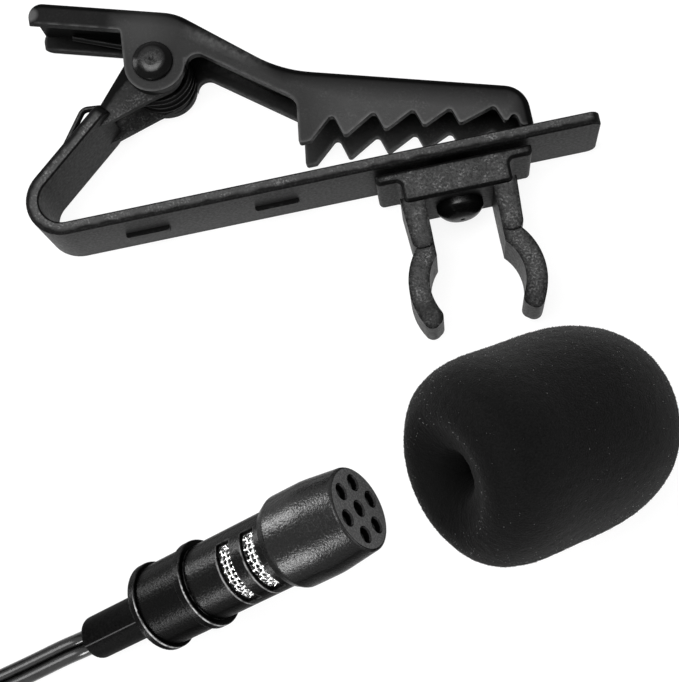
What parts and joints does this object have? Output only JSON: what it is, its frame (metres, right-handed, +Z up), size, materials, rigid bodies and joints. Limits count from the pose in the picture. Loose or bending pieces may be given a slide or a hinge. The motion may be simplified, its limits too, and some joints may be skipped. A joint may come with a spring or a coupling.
{
  "type": "lavalier microphone",
  "caption": "Lavalier microphone kit: toothed spring clip with a swivelling holder, small microphone on a coiled lead with plug, and a foam windscreen.",
  "frame": {"origin": "on the table under the middle of the clip's straight bar, at the bar's lower edge", "axes": "+X along the clip's straight bar towards its free end, +Y from the bar towards the jaw, +Z up from the table"},
  "size_m": [0.1048, 0.0834, 0.0205],
  "materials": {
    "clip_metal": "satin black coat with fine grain",
    "spring_wire": "black coated wire",
    "holder_plastic": "grained black plastic",
    "mic_shell": "semi-gloss black coat",
    "mesh": "woven wire",
    "felt": "felt",
    "capsule_metal": "satin",
    "sleeve_rubber": "smooth rubber",
    "board": "circuit board",
    "wire_insulation": "insulation",
    "crimp_metal": "plain",
    "foam": "open-cell foam",
    "cord_jacket": "smooth jacket",
    "tie_fabric": "soft strap",
    "plug_shell": "satin black",
    "contact_metal": "polished",
    "insulator": "plain"
  },
  "bodies": {
    "clip_frame": {"clip_strip": "clip_metal", "pivot_rivet": "clip_metal", "torsion_spring": "spring_wire", "swivel_washer": "clip_metal", "holder_rivet": "clip_metal", "front_cap": "mic_shell", "body_shell": "mic_shell", "rear_collar": "mic_shell", "mesh_screen": "mesh", "acoustic_felt": "felt", "capsule": "capsule_metal", "capsule_gasket": "sleeve_rubber", "capsule_board": "board", "signal_wire": "wire_insulation", "shield_wire": "wire_insulation", "cord_crimp": "crimp_metal", "strain_relief": "sleeve_rubber", "windscreen": "foam", "cord_lead": "cord_jacket", "cord_coil": "cord_jacket", "coil_tie": "tie_fabric", "cord_tail": "cord_jacket", "plug_boot": "sleeve_rubber", "plug_barrel": "plug_shell", "plug_sleeve_contact": "contact_metal", "plug_ring_1": "contact_metal", "plug_ring_2": "contact_metal", "plug_tip": "contact_metal", "plug_insulator_1": "insulator", "plug_insulator_2": "insulator", "plug_insulator_3": "insulator"},
    "jaw": {"jaw_lever": "clip_metal"},
    "holder": {"mic_holder": "holder_plastic"}
  },
  "joints": [
    {"name": "jaw_pivot", "type": "hinge", "parent": "clip_frame", "child": "jaw", "pos_m": [-0.0119, 0.0134, 0.0037], "axis": [0, 0, 1], "range_deg": [0, 27], "stiffness_Nm_per_rad": 0.05, "springref_deg": -68.75, "deforming": ["torsion_spring"]},
    {"name": "holder_swivel", "type": "hinge", "parent": "clip_frame", "child": "holder", "pos_m": [0.01187, -0.003, 0.0037], "axis": [0, 1, 0], "range_deg": [-180, 180]}
  ]
}
